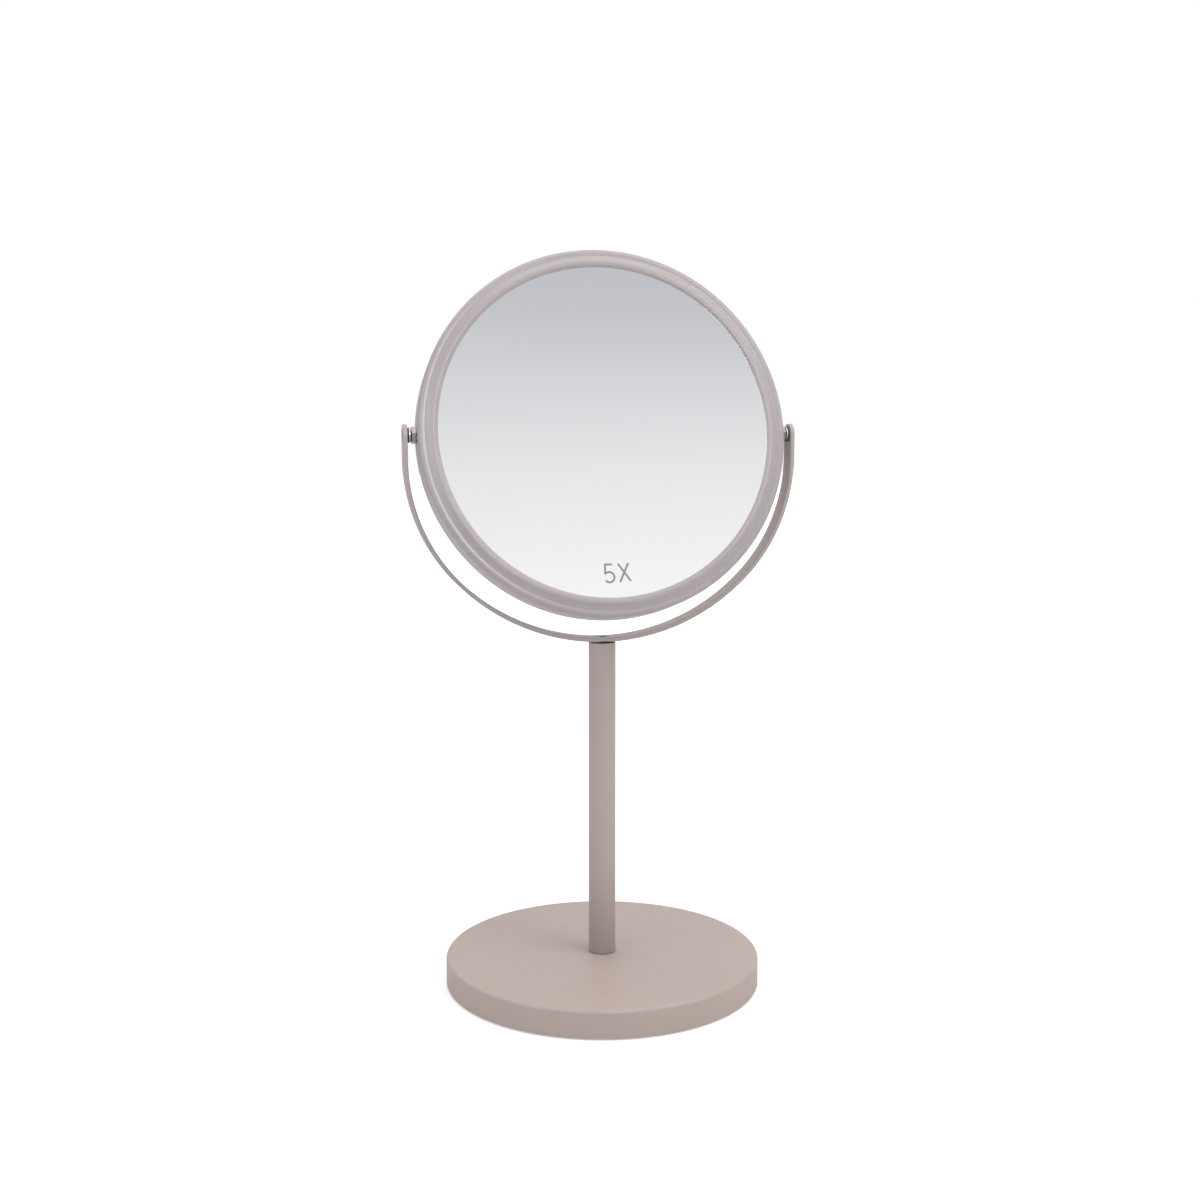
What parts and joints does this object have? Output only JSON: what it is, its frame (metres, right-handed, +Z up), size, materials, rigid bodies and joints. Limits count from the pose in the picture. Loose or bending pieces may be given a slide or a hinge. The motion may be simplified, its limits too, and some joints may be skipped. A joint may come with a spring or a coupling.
{
  "type": "standing mirror",
  "caption": "Two-sided round table mirror that turns over between the arms of a U-shaped yoke, on a tube stem with a weighted round base.",
  "frame": {"origin": "middle of the face that the base stands on", "axes": "+Z up along the stem, -Y out of the front of the mirror, X along the pivots of the mirror head"},
  "size_m": [0.1822, 0.148, 0.3425],
  "materials": {
    "stand_paint": "matt powder coat, dusty pinkish beige",
    "rim_paint": "satin paint, dusty pinkish beige",
    "mirror_glass": "polished, silvered on the back",
    "pad_foam": "matt closed-cell foam",
    "ballast_cement": "cast cement",
    "hardware_steel": "zinc plated",
    "plug_steel": "blackened",
    "washer_nylon": "dark nylon",
    "pivot_nickel": "nickel plated",
    "spacer_plastic": "as moulded",
    "core_board": "grey board"
  },
  "bodies": {
    "stand": {"base_shell": "stand_paint", "base_pad": "pad_foam", "ballast": "ballast_cement", "base_washer": "hardware_steel", "base_spring_washer": "hardware_steel", "base_screw": "hardware_steel", "stem_tube": "stand_paint", "stem_lower_plug": "plug_steel", "stem_upper_plug": "plug_steel", "yoke": "stand_paint", "yoke_screw": "hardware_steel", "right_flat_washer": "washer_nylon", "left_flat_washer": "washer_nylon"},
    "mirror_head": {"frame_band": "rim_paint", "front_bezel": "rim_paint", "rear_bezel": "rim_paint", "magnifying_mirror": "mirror_glass", "plain_mirror": "mirror_glass", "glass_spacer": "spacer_plastic", "core_pad": "core_board", "right_pivot_screw": "pivot_nickel", "left_pivot_screw": "pivot_nickel", "right_lock_nut": "pivot_nickel", "left_lock_nut": "pivot_nickel", "right_dished_washer": "hardware_steel", "left_dished_washer": "hardware_steel", "right_pivot_bush": "hardware_steel", "left_pivot_bush": "hardware_steel"}
  },
  "joints": [
    {"name": "head_tilt", "type": "hinge", "parent": "stand", "child": "mirror_head", "pos_m": [0, 0, 0.2583], "axis": [1, 0, 0], "continuous": true}
  ]
}
